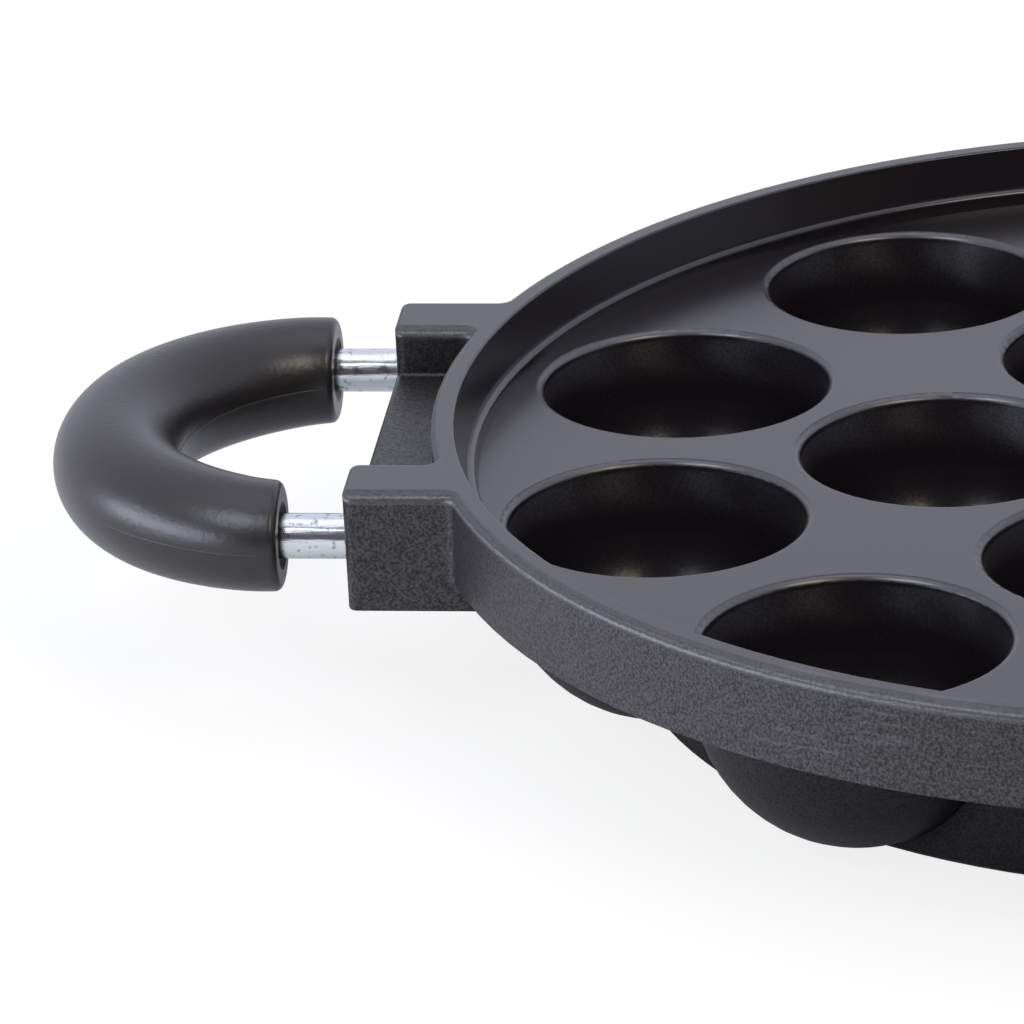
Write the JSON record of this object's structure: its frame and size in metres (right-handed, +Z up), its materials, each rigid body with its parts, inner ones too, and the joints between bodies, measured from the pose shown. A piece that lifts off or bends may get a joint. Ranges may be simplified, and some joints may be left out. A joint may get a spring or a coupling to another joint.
{
  "type": "paniyaram pan",
  "caption": "Round cast pan with rings of bowl-shaped cups for small round dumplings, a foot ring underneath and a black U-shaped grip on each side.",
  "frame": {"origin": "on the pan's axis, in the plane that the foot ring stands on", "axes": "+X along the line of the two handles, +Z up out of the cups"},
  "size_m": [0.3578, 0.24, 0.0397],
  "materials": {
    "coated_casting": "dark grey non-stick coating, satin on the tray and grainy on the outside",
    "plated_wire": "bright zinc plating with fine dark flecks",
    "black_grip": "moulded black, softly shiny"
  },
  "bodies": {
    "root": {"pan_body": "coated_casting", "left_handle_rod": "plated_wire", "left_handle_grip": "black_grip", "right_handle_rod": "plated_wire", "right_handle_grip": "black_grip"}
  },
  "joints": []
}
